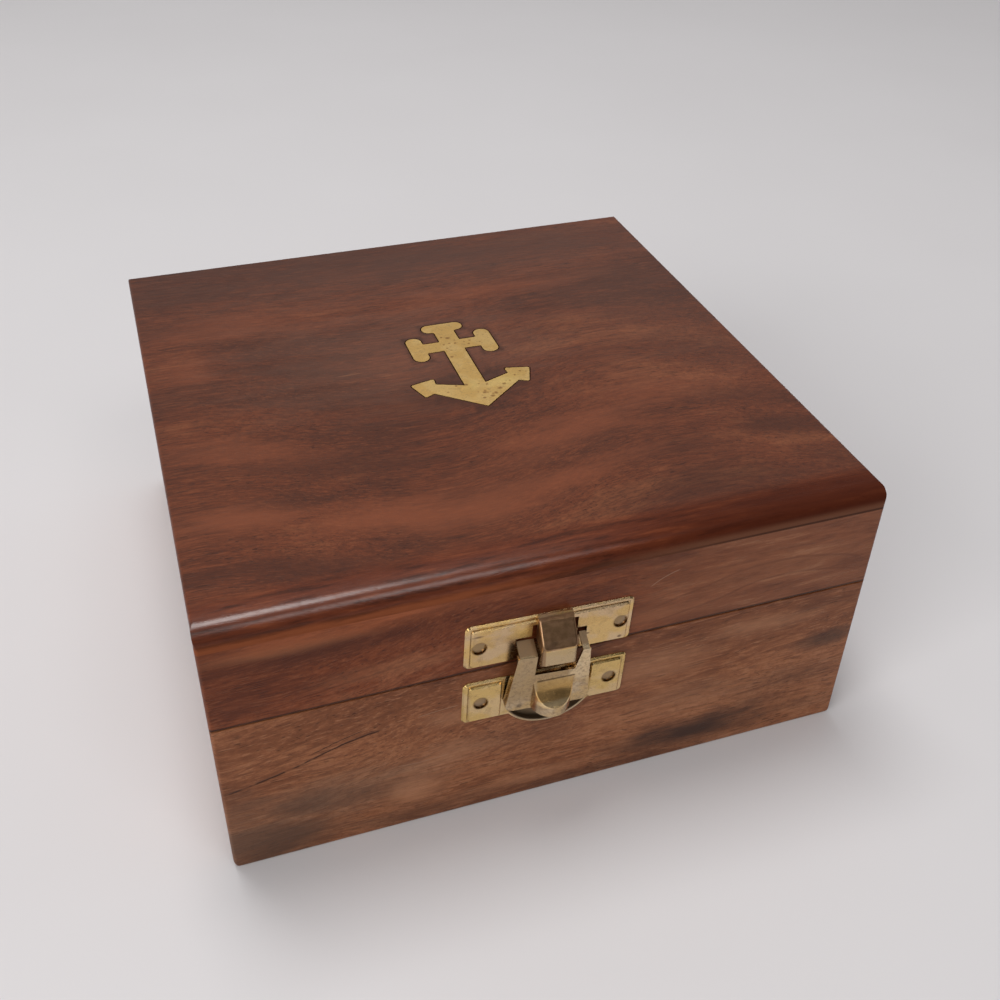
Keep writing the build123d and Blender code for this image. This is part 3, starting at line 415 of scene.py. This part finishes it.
GLOW_RED = (0.310, 0.120, 0.055)
EMBER_RED = (0.350, 0.100, 0.038)
GOLDENS = [(0.34, (0.150, 0.052, 0.026)), (0.52, (0.265, 0.098, 0.046)), (0.70, (0.400, 0.180, 0.092))]
SEAM_PAINTED_SHADE = (0.016, 0.007, 0.005)
FRONT_ARRIS = (0.030, 0.011, 0.008)
LID_SCRATCH_PALE = (0.42, 0.27, 0.18)
CRACK_DARK = (0.030, 0.010, 0.006)
BASE_PATCH_DARK = (0.048, 0.024, 0.018)
DULL_BROWN = (0.125, 0.072, 0.048)
BASE_SCRATCH_PALE = (0.45, 0.32, 0.22)


def front_rise(net):
    """Grain of the front boards climbs from the lower left and levels out at the right."""
    return net.product(net.step(net.x, -85.0, 10.0), 12.0, net.step(net.z, -6.0, 38.0))


def lid_front_marks(net, colour, height):
    """Patches, a glowing band under the lid board and gold at the right, painted shade along the seam at the
    board's foot, arched grain lines and a pale scratch."""
    drift = net.spread(net.noise(net.mm, (0.05, 0.2, 0.2), (2, 6, 4), detail=4.0), 1.3)
    colour = net.mix(net.patches(net.x, net.z, drift, LID_SHADE), colour, LID_TONES[0])
    colour = net.mix(net.patches(net.x, net.z, drift, LID_GLOW), colour, GLOW_RED)
    grainy = net.grain(net.mm, 0.06, 0.45, (8, 2, 5), detail=5.0, rough=0.70)
    ember = net.product(net.patches(net.x, net.z, drift, LID_EMBERS),
                        net.step(grainy, 0.38, 0.58, 0.50, 1.0))
    colour = net.mix(ember, colour, EMBER_RED)
    colour = net.mix(net.step(net.x, 0.0, 42.0, 0.0, 0.62), colour, net.ramp(grainy, GOLDENS))
    # painted shade along the seam with the base, over the board's rounded lower edge
    colour = net.mix(net.step(net.z, 45.25, 44.95, 0.0, 0.75), colour, SEAM_PAINTED_SHADE)
    colour = net.paint(colour, net.strokes(net.z, net.x, LID_ARCHES), 0.30, LID_TONES[0])
    colour = left_edge(net, colour, FRONT_ARRIS)
    return net.paint(colour, net.strokes(net.z, net.x, LID_SCRATCH), 0.5, LID_SCRATCH_PALE), height


def base_front_marks(net, colour, height):
    """The long broken crack at the left, a faint knot, dark patches, most of them along the foot, and pale
    scratches.
    """
    wander = net.spread(net.noise(net.mm, (0.15, 0.3, 0.3), (2, 5, 1)), 1.2)
    level = net.math("ADD", net.z, wander)
    breaks = net.step(net.noise(net.mm, (0.30, 0.1, 0.1), (4, 4, 2), detail=3.0), 0.38, 0.52, 0.25, 1.0)
    crack = net.product(net.strokes(level, net.x, BASE_CRACK), breaks)
    colour = net.paint(colour, crack, 0.92, CRACK_DARK)
    colour = net.paint(colour, net.strokes(level, net.x, BASE_ARCHES), 0.4, BASE_TONES[0])
    rim = net.math("ADD", net.oval(net.x, net.z, *BASE_KNOT), net.product(wander, 0.25))
    colour = net.mix(net.step(net.apart(rim, 1.0), 0.30, 0.05, 0.0, 0.22), colour, BASE_TONES[0])
    ragged = net.spread(net.noise(net.mm, (0.07, 0.3, 0.3), (3, 1, 8), detail=4.0), 1.6)
    colour = net.mix(net.patches(net.x, net.z, ragged, BASE_DARK_PATCHES), colour, BASE_PATCH_DARK)
    colour = net.mix(net.patches(net.x, net.z, ragged, BASE_DULL), colour, DULL_BROWN)
    colour = left_edge(net, colour, FRONT_ARRIS)
    colour = net.mix(net.patches(net.x, net.z, ragged, BASE_GLOW), colour, BASE_TONES[3])
    colour = net.paint(colour, net.strokes(net.z, net.x, BASE_SCRATCHES), 0.35, BASE_SCRATCH_PALE)
    return colour, net.math("SUBTRACT", height, net.product(crack, 1.6))


finishes = {
    "lid_top": rosewood("rosewood_top", "x", (3.1, 1.7, 0.4), TOP_TONES, shine=0.06, haze=0.25,
                        bend=7.0, lacquer=top_lacquer, rise=top_rise, marks=top_marks),
    "lid_front": rosewood("rosewood_lid_front", "x", (9.2, 4.1, 2.2), LID_TONES, rise=front_rise,
                          marks=lid_front_marks),
    "lid_back": rosewood("rosewood_lid_back", "x", (1.2, 8.4, 5.5), LID_TONES),
    "lid_left": rosewood("rosewood_lid_left", "y", (6.6, 2.2, 1.1), LID_TONES),
    "lid_right": rosewood("rosewood_lid_right", "y", (2.7, 7.3, 4.8), LID_TONES),
    "base_front": rosewood("rosewood_base_front", "x", (5.3, 6.2, 7.7), BASE_TONES, gloss=0.42,
                           rise=front_rise, marks=base_front_marks),
    "base_back": rosewood("rosewood_base_back", "x", (8.1, 3.3, 9.1), BASE_TONES, gloss=0.42),
    "base_left": rosewood("rosewood_base_left", "y", (4.4, 9.6, 3.2), BASE_TONES, gloss=0.42),
    "base_right": rosewood("rosewood_base_right", "y", (7.9, 5.7, 6.4), BASE_TONES, gloss=0.42),
    "base_bottom": rosewood("rosewood_bottom", "x", (0.6, 4.9, 8.3), INNER_TONES, gloss=0.55),
}


# ------------------------------------------------------------------ brass
TARNISH_BROWN = (0.28, 0.19, 0.11)
GRIT_BROWN = (0.36, 0.26, 0.15)
PIT_DARK = (0.16, 0.08, 0.04)

# the two plates of the latch, tilted in the front's plane; lengths in mm, taken along and across them
PLATE_TILT = math.radians(2.2)
PANEL_HALF_HEIGHT, PANEL_MIDDLE = 5.17, -0.17
PANEL_RIM = 0.04  # from the panel's outline to the middle of its groove
NAIL_RIM = 1.62  # from a nail's middle to the painted shade round it
GROOVE_PAINTED_SHADE = (0.17, 0.105, 0.052)


def brass(name, pale, warm, rough=0.26, tarnish=0.35, grit=0.5, specks=0.0, wear_and_light=None):
    """Old lacquered brass: two tones in clouds, brown tarnish in spots, fine scratches.

    tarnish, grit and specks are the strengths of brown spots, fine grain and small pits. The last argument,
    a function of (net, colour), paints what is particular to one piece, its worn places and its painted
    light and shade alike; it gives the colour, a mask of where it is duller, and a mask of where a film of
    lacquer scatters light, or None.
    """
    net = Net(name)
    clouds = net.noise(net.mm, (0.16, 0.16, 0.22), (4, 2, 6), detail=3.0)
    colour = net.mix(net.step(clouds, 0.42, 0.58), pale, warm)
    patina = net.noise(net.mm, (0.55, 0.55, 0.55), (1, 9, 3), detail=5.0, rough=0.65)
    colour = net.mix(net.step(patina, 0.50, 0.74, 0.0, tarnish), colour, TARNISH_BROWN)
    grain = net.noise(net.mm, (2.6, 2.6, 2.6), (2, 2, 2), detail=3.0, rough=0.6)
    colour = net.mix(net.step(grain, 0.56, 0.74, 0.0, grit * 0.5), colour, GRIT_BROWN)
    pits = net.cells(net.mm, (0.42, 0.42, 0.42), (0.3, 0.2, 0.6))
    colour = net.paint(colour, net.step(pits, 0.17, 0.08), specks, PIT_DARK)
    dull, film = 0.0, None
    if wear_and_light is not None:
        colour, dull, film = wear_and_light(net, colour)
    scuff = net.noise(net.mm, (0.5, 4.0, 6.0), (5, 1, 2), detail=2.0)
    roughness = net.math("ADD", net.math("MULTIPLY_ADD", patina, 0.22, rough - 0.11),
                         net.step(scuff, 0.55, 0.75, 0.0, 0.10))
    roughness = net.math("MULTIPLY_ADD", dull, 0.30, roughness)
    normal = net.bump(net.math("ADD", net.product(grain, 0.5), net.product(scuff, 0.3)), 0.12, 0.03)
    metal = 1.0 if film is None else net.math("SUBTRACT", 1.0, film)
    return net.finish(Base_Color=colour, Metallic=metal, Roughness=roughness, Normal=normal)


def grooves(net, colour, centre, panels, nails_x):
    """Painted shade in the corner round each raised panel of a tilted plate and round each of its nails.

    centre is the plate's middle in X and Z; panels lists (left, right) and nails_x the nails' places
    along the plate, from its middle.
    """
    a = net.math("SUBTRACT", net.x, centre[0])
    b = net.math("SUBTRACT", net.z, centre[1])
    cosine, sine = math.cos(PLATE_TILT), math.sin(PLATE_TILT)
    u = net.math("SUBTRACT", net.product(a, cosine), net.product(b, sine))
    v = net.math("ADD", net.product(a, sine), net.product(b, cosine))
    masks = []
    for left, right in panels:
        wide = net.math("SUBTRACT", net.apart(u, (left + right) / 2), (right - left) / 2)
        high = net.math("SUBTRACT", net.apart(v, PANEL_MIDDLE), PANEL_HALF_HEIGHT)
        masks.append(net.step(net.apart(net.most(wide, high), PANEL_RIM), 0.20, 0.06))
    for nail in nails_x:
        far = net.length(net.math("SUBTRACT", u, nail), v)
        masks.append(net.step(net.apart(far, NAIL_RIM), 0.28, 0.10))
    broken = net.step(net.noise(net.mm, (0.5, 0.5, 0.5), (8, 1, 4), detail=3.0), 0.30, 0.55, 0.45, 1.0)
    # painted shade in the grooves and round the nails, broken up
    return net.paint(colour, net.product(net.most(*masks), broken), 0.55, GROOVE_PAINTED_SHADE)


def dots(net, a, b, spots):
    """Mask of small dots; spots lists (centre, radii, soft)."""
    return net.most(*[net.spot(a, b, centre, radii, soft) for centre, radii, soft in spots])


CATCH_CENTRE, CATCH_PANELS, CATCH_NAILS = (-3.4, 51.15), [(-17.7, 17.7)], (-15.85, 15.85)
# dark dots on the catch plate: tarnish, except the long one right of the nose, which is painted shadow in
# the slot for the lever's right claw
CATCH_DOTS_AND_SLOT = [((12.5, 46.2), (0.5, 0.4), 0.5), ((4.6, 49.3), (0.9, 0.35), 0.6),
              ((-19.5, 55.2), (1.2, 0.3), 0.8)]
NOSE_GOLD = (0.72, 0.46, 0.10)
NOSE_TOP_PAINTED_REFLECTION_DARK, NOSE_TOP_PAINTED_REFLECTION_LIGHT = (0.205, 0.112, 0.062), (0.33, 0.185, 0.105)
NOSE_FRONT_PAINTED_REFLECTION = (0.49, 0.37, 0.215)
CHEEK_PAINTED_SHADE = (0.30, 0.18, 0.095)
DOTS_AND_SLOT_SHADE_DARK = (0.12, 0.07, 0.04)


def catch_wear_and_light(net, colour):
    """Catch plate: golden by the nose, painted shade in the grooves, the nose's upper face painted dark as a
    reflection of the dim studio, its lower face painted paler as a reflection of the floor and its left
    cheek painted brown as shade, and a few tarnish dots, one of them painted shadow in a slot."""
    gold = net.spot(net.x, net.z, (-9.0, 52.5), (2.6, 3.0), 0.8)
    colour = net.paint(colour, gold, 0.6, NOSE_GOLD)
    colour = grooves(net, colour, CATCH_CENTRE, CATCH_PANELS, CATCH_NAILS)
    nose = net.step(net.y, -75.9, -76.3)
    upper = net.product(nose, net.step(net.z, 51.4, 52.0))
    blotches = net.step(net.noise(net.mm, (0.5, 0.5, 0.9), (3, 1, 7), detail=4.0, rough=0.65), 0.35, 0.65)
    # painted reflection: the nose's upward-sloping upper face darkened, in two blotchy tones, as it mirrors
    # the dim studio
    colour = net.paint(colour, upper, 0.90, net.mix(blotches, NOSE_TOP_PAINTED_REFLECTION_DARK, NOSE_TOP_PAINTED_REFLECTION_LIGHT))
    lower = net.product(nose, net.step(net.z, 51.6, 51.2))
    # painted reflection: the nose's lower face made paler, as it mirrors the floor
    colour = net.paint(colour, lower, 0.75, NOSE_FRONT_PAINTED_REFLECTION)
    cheek = net.product(nose, net.step(net.x, -6.2, -6.5), net.step(net.z, 54.6, 53.6))
    # painted shade on the nose's left cheek
    colour = net.paint(colour, cheek, 0.80, CHEEK_PAINTED_SHADE)
    # tarnish dots, and painted shadow in the claw's slot
    colour = net.paint(colour, dots(net, net.x, net.z, CATCH_DOTS_AND_SLOT), 0.75, DOTS_AND_SLOT_SHADE_DARK)
    return colour, net.product(upper, 0.32), None


PLATE_CENTRE, PLATE_PANELS, PLATE_NAILS = (-3.9, 34.75), [(-17.7, -10.2), (10.2, 17.7)], (-14.9, 14.9)
DISH_X, DISH_Z = -2.75, 36.15  # centre of the half-round dish and of the lobe that holds it
UNDER_LEVER_PAINTED_SHADE = (0.22, 0.13, 0.06)
LOBE_RIM_PAINTED_REFLECTION = (0.42, 0.35, 0.27)
DISH_PAINTED_SHADE = (0.20, 0.145, 0.095)


def base_wear_and_light(net, colour):
    """Base plate: painted shade in the grooves, in the dish and behind the lever, and a painted grey
    reflection on the lobe's rim.
    """
    colour = grooves(net, colour, PLATE_CENTRE, PLATE_PANELS, PLATE_NAILS)
    far = net.length(net.math("SUBTRACT", net.x, DISH_X), net.math("SUBTRACT", net.z, DISH_Z))
    dish = net.product(net.step(far, 11.35, 11.05),
                       net.product(net.step(net.z, 32.2, 31.4), net.step(net.y, -75.60, -75.52)))
    # painted shade on the plate behind the lever
    behind = net.product(net.spot(net.x, net.z, (-3.6, 35.0), (10.0, 9.0), 0.3),
                         net.step(net.y, -76.4, -75.9))
    colour = net.paint(colour, behind, 0.55, UNDER_LEVER_PAINTED_SHADE)
    # painted reflection: the lobe's rim greyer, as it mirrors the floor
    lobe = net.product(net.step(far, 10.8, 11.0), net.step(net.z, 29.0, 28.2))
    colour = net.paint(colour, lobe, 0.6, LOBE_RIM_PAINTED_REFLECTION)
    # painted shade and dark reflection in the dish under the lever
    return net.paint(colour, dish, 0.92, DISH_PAINTED_SHADE), dish, None


LEVER_DOTS = [((-10.6, 33.6), (0.75, 0.7), 0.6), ((-7.6, 41.5), (0.35, 0.8), 0.6)]
DOME_X = -2.8
LEVER_DOT_DARK = (0.14, 0.10, 0.07)
LEFT_ARM_BROWN = (0.44, 0.31, 0.165)
RIGHT_ARM_PALE = (0.84, 0.66, 0.42)
BAR_PAINTED_SHADE = (0.30, 0.20, 0.11)
CLAW_BROWN = (0.27, 0.165, 0.090)
LEVER_GRIME = (0.26, 0.18, 0.11)
SLOPE_AMBER = (0.90, 0.56, 0.21)
POOL_PAINTED_REFLECTION = (0.36, 0.22, 0.08)
LIP_PAINTED_HIGHLIGHT = (1.0, 0.80, 0.48)
SCOOP_BROWN = (0.44, 0.26, 0.08)
BRINK_PAINTED_SHADOW = (0.08, 0.045, 0.022)


def lever_wear_and_light(net, colour):
    """Lever: tarnish dots on the left leg, brown left arm and claws, painted shade of the nose on the
    crossbar, paler right arm, and the thumb dome amber on its slope, with a painted dark reflection in the
    slope's middle, a painted highlight on its lip and a painted shadow line for the opening above it."""
    colour = net.paint(colour, dots(net, net.x, net.z, LEVER_DOTS), 0.7, LEVER_DOT_DARK)
    left_arm = net.product(net.step(net.x, -5.6, -6.4), net.step(net.z, 33.0, 37.0))
    colour = net.paint(colour, left_arm, 0.80, LEFT_ARM_BROWN)
    right_arm = net.product(net.step(net.x, -0.6, 0.2), net.step(net.z, 38.0, 41.0))
    colour = net.paint(colour, right_arm, 0.55, RIGHT_ARM_PALE)
    # painted shade of the nose on the crossbar
    bar = net.product(net.step(net.x, -6.6, -6.0), net.step(net.x, 0.6, 0.0), net.step(net.z, 40.6, 41.6))
    colour = net.paint(colour, bar, 0.55, BAR_PAINTED_SHADE)
    claws = net.product(net.step(net.z, 48.4, 49.0), net.step(net.y, -79.0, -78.5))
    colour = net.paint(colour, claws, 0.85, CLAW_BROWN)
    grime = net.noise(net.mm, (1.3, 1.3, 1.3), (3, 8, 5), detail=4.0, rough=0.75)
    colour = net.mix(net.step(grime, 0.46, 0.66, 0.0, 0.62), colour, LEVER_GRIME)

    # the thumb dome, with its painted reflection, highlight and shadow
    slope = net.product(net.step(net.y, -78.9, -79.4), net.step(net.z, 34.6, 35.6),
                        net.step(net.apart(net.x, DOME_X), 5.0, 4.6), net.step(net.z, 42.0, 40.5))
    colour = net.paint(colour, slope, 0.90, SLOPE_AMBER)
    pool = net.product(slope, net.spot(net.x, net.z, (-2.0, 37.3), (2.4, 1.3), 0.7))
    # painted dark reflection in the middle of the dome's slope
    colour = net.paint(colour, pool, 0.60, POOL_PAINTED_REFLECTION)
    lip = net.product(slope, net.step(net.z, 36.5, 35.9))
    # painted highlight along the dome's lip
    colour = net.paint(colour, lip, 0.70, LIP_PAINTED_HIGHLIGHT)
    face = net.step(net.y, -78.0, -78.4)
    scoop = net.product(net.slab(net.x, net.z, (DOME_X, 39.4), (4.3, 1.2), 1.0), face)
    colour = net.paint(colour, scoop, 0.65, SCOOP_BROWN)
    brink = net.product(net.slab(net.x, net.z, (DOME_X, 40.75), (4.2, 0.22), 0.35), face)
    # painted shadow line where the dome opens under the crossbar
    colour = net.paint(colour, brink, 0.85, BRINK_PAINTED_SHADOW)
    dull = net.math("SUBTRACT", net.product(claws, 0.4), net.product(slope, 0.12))
    return colour, dull, net.product(slope, 0.15)


ANCHOR_DOTS = [(centre, radii, 0.6) for centre, radii in (
    ((7.2, -10.8), (0.7, 0.5)), ((4.4, -13.6), (0.6, 0.5)), ((1.9, 16.2), (0.7, 0.6)),
    ((-0.3, -7.0), (0.5, 0.5)), ((0.2, 6.8), (0.5, 0.4)), ((3.0, -11.6), (0.6, 0.5)),
    ((5.6, -12.5), (0.5, 0.6)), ((8.8, -9.2), (0.6, 0.5)), ((2.2, -13.9), (0.5, 0.4)))]
ARM_BRIGHT = (0.96, 0.74, 0.26)
ANCHOR_PIT_BROWN = (0.34, 0.14, 0.045)
ANCHOR_DOT_DARK = (0.26, 0.10, 0.035)


def inlay_wear(net, colour):
    """Anchor: a bright patch on the right arm, with clusters of small pits and single brown dots."""
    clump = net.noise(net.mm, (0.10, 0.10, 0.10), (3, 3, 3), detail=2.0)
    pits = net.cells(net.mm, (0.62, 0.62, 0.62), (0.7, 0.1, 0.5))
    near = net.spot(net.x, net.y, (7.0, -9.5), (8.0, 6.0), 0.8)
    bright = net.product(near, net.step(clump, 0.42, 0.60))
    colour = net.paint(colour, bright, 0.5, ARM_BRIGHT)
    pit = net.product(net.step(pits, 0.27, 0.13), net.most(net.step(clump, 0.50, 0.60), near))
    colour = net.paint(colour, pit, 0.70, ANCHOR_PIT_BROWN)
    colour = net.paint(colour, dots(net, net.x, net.y, ANCHOR_DOTS), 0.65, ANCHOR_DOT_DARK)
    return colour, 0.0, None


finishes["catch_plate"] = brass("brass_latch", (0.70, 0.50, 0.29), (0.72, 0.48, 0.19), rough=0.25,
                                wear_and_light=catch_wear_and_light)
finishes["latch_base_plate"] = brass("brass_base_plate", (0.72, 0.52, 0.27), (0.68, 0.47, 0.18),
                                     rough=0.25, wear_and_light=base_wear_and_light)
finishes["latch_lever"] = brass("brass_lever", (0.64, 0.49, 0.31), (0.64, 0.45, 0.22), rough=0.22,
                                tarnish=0.55, grit=0.7, wear_and_light=lever_wear_and_light)
nail_brass = brass("brass_nail", (0.32, 0.225, 0.14), (0.36, 0.24, 0.12), rough=0.30, tarnish=0.7)
finishes["anchor_inlay"] = brass("brass_inlay", (0.84, 0.57, 0.22), (0.78, 0.50, 0.17), rough=0.44,
                                 tarnish=0.45, grit=1.1, specks=0.15, wear_and_light=inlay_wear)
hinge_brass = brass("brass_hinge", (0.74, 0.56, 0.28), (0.66, 0.46, 0.20), rough=0.30, tarnish=0.5)

for node, piece in nodes.items():
    if "hinge" in node:
        finish = hinge_brass
    elif node.endswith(("nails", "pivot_pin")):
        finish = nail_brass
    else:
        finish = finishes[node]
    piece.data.materials.clear()
    piece.data.materials.append(finish)


# ------------------------------------------------------------------ floor, light and camera
FLOOR_TONES = (0.70, 0.678, 0.682), (0.735, 0.715, 0.72)
bpy.ops.mesh.primitive_plane_add(size=8.0, location=(0.0, 0.0, 0.0))
floor = bpy.context.active_object
floor.name = "floor"
paper = Net("floor_paper")
mottle = paper.noise(paper.mm, (0.01, 0.01, 0.01), detail=2.0)
floor.data.materials.append(paper.finish(Base_Color=paper.mix(mottle, *FLOOR_TONES), Roughness=0.6))


def softbox(name, place, target, size, power):
    """White area lamp of a size in metres, aimed at a point; its power is in watts."""
    data = bpy.data.lights.new(name, "AREA")
    data.shape = "RECTANGLE"
    data.size, data.size_y = size
    data.energy = power
    lamp = bpy.data.objects.new(name, data)
    lamp.location = place
    lamp.rotation_euler = (Vector(target) - Vector(place)).to_track_quat("-Z", "Y").to_euler()
    bpy.context.scene.collection.objects.link(lamp)


softbox("lamp_top", (-0.10, 0.30, 1.35), (0.0, 0.0, 0.05), (0.50, 0.6), 8.2)
softbox("lamp_left", (-1.35, -0.85, 0.95), (0.0, 0.0, 0.03), (1.0, 0.8), 15.5)
softbox("lamp_front", (0.25, -0.90, 1.30), (0.0, 0.0, 0.03), (0.6, 0.5), 3.2)

# the studio is pale all round and dim on the side from which the box is looked at
STUDIO_DIM, STUDIO_PALE = (0.055, 0.05, 0.05, 1.0), (0.36, 0.355, 0.36, 1.0)
DIM_Y, PALE_Y = -0.75, 0.25  # Y of a direction up to which the studio is dim, and from which it is pale
world = bpy.data.worlds.new("studio")
world.use_nodes = True
room = world.node_tree
facing = room.nodes.new("ShaderNodeTexCoord")
axes = room.nodes.new("ShaderNodeSeparateXYZ")
depth = room.nodes.new("ShaderNodeMapRange")
depth.interpolation_type = "SMOOTHSTEP"
depth.inputs["From Min"].default_value = DIM_Y
depth.inputs["From Max"].default_value = PALE_Y
shade = room.nodes.new("ShaderNodeMix")
shade.data_type = "RGBA"
shade.inputs[6].default_value = STUDIO_DIM
shade.inputs[7].default_value = STUDIO_PALE
room.links.new(facing.outputs["Generated"], axes.inputs[0])
room.links.new(axes.outputs["Y"], depth.inputs["Value"])
room.links.new(depth.outputs[0], shade.inputs[0])
room.links.new(shade.outputs[2], room.nodes["Background"].inputs[0])
bpy.context.scene.world = world
bpy.context.scene.view_settings.view_transform = "Standard"

# the photograph's camera, solved from the box's corners
lens = bpy.data.cameras.new("camera")
lens.sensor_width = 36.0
lens.lens = 41.41
lens.shift_x = 0.0172
lens.shift_y = -0.0357
lens.clip_start = 0.01
lens.clip_end = 50.0
camera = bpy.data.objects.new("camera", lens)
camera.location = (-0.07339, -0.23560, 0.22202)
camera.rotation_euler = (0.93982, -0.01242, -0.31855)
bpy.context.scene.collection.objects.link(camera)
bpy.context.scene.camera = camera
